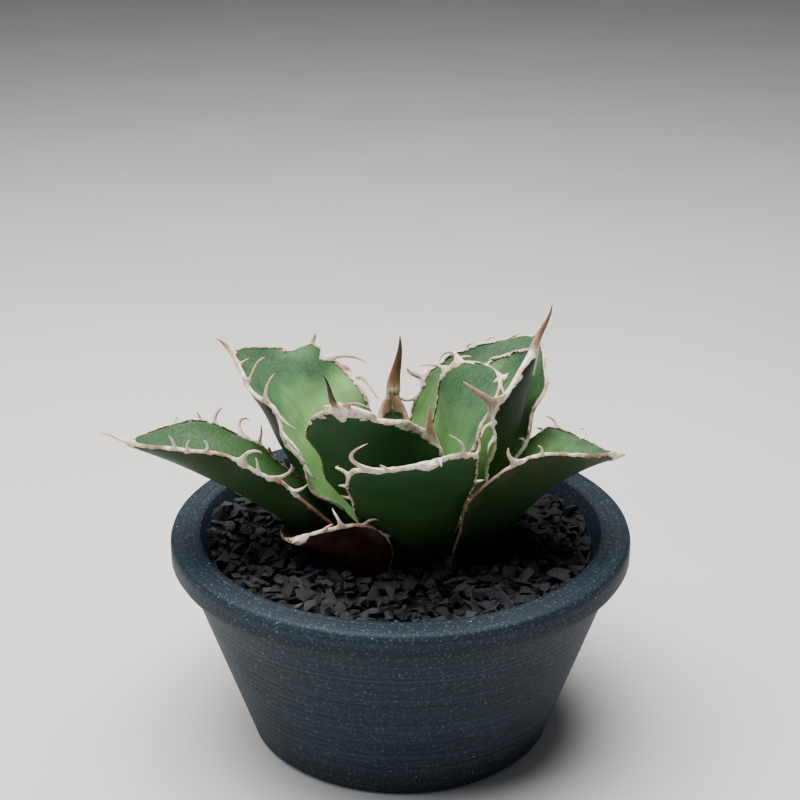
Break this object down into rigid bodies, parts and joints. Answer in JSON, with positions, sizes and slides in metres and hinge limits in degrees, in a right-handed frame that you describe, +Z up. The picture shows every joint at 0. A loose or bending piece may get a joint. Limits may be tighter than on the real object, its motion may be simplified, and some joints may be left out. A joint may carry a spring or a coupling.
{
  "type": "potted agave titanota",
  "caption": "Rosette of thick cupped leaves with pale horny toothed edges and spines, in a shallow round dark pan topped with black stone chips.",
  "frame": {"origin": "centre of the pan's flat underside, where it rests", "axes": "+Z up; -Y is the front, which the picture's camera faces; +X is to the right in the picture"},
  "size_m": [0.1683, 0.15, 0.1453],
  "materials": {
    "pan_stoneware": "matte dark slate stoneware, unglazed, with faint turning lines",
    "potting_mix": "dark gritty potting mix of bark, peat and pumice, wood stands for it",
    "stone_chips": "matte crushed black stone, sharp edged",
    "stem": "pale fibrous living stem, wood stands for it",
    "leaf_green": "waxy glaucous green leaf skin, leather stands for living leaf",
    "leaf_old": "old leaf skin gone purple brown, leather stands for living leaf",
    "horny_margin": "hard horny leaf edge and spines, bone white to tan, wood stands for horn"
  },
  "bodies": {
    "root": {"pan": "pan_stoneware", "potting_mix": "potting_mix", "stone_chips": "stone_chips", "stem": "stem", "leaf_01_bud": "leaf_green", "leaf_01_bud_margin": "horny_margin", "leaf_02_front_inner": "leaf_green", "leaf_02_front_inner_margin": "horny_margin", "leaf_03_right_inner": "leaf_green", "leaf_03_right_inner_margin": "horny_margin", "leaf_04_front": "leaf_green", "leaf_04_front_margin": "horny_margin", "leaf_05_back_left": "leaf_green", "leaf_05_back_left_margin": "horny_margin", "leaf_06_right": "leaf_green", "leaf_06_right_margin": "horny_margin", "leaf_07_back_right": "leaf_green", "leaf_07_back_right_margin": "horny_margin", "leaf_08_left": "leaf_green", "leaf_08_left_margin": "horny_margin", "leaf_09_right_low": "leaf_green", "leaf_09_right_low_margin": "horny_margin", "leaf_10_front_left_low": "leaf_old", "leaf_10_front_left_low_margin": "horny_margin", "leaf_11_back_low": "leaf_green", "leaf_11_back_low_margin": "horny_margin", "leaf_12_back_right_low": "leaf_green", "leaf_12_back_right_low_margin": "horny_margin"}
  },
  "joints": []
}
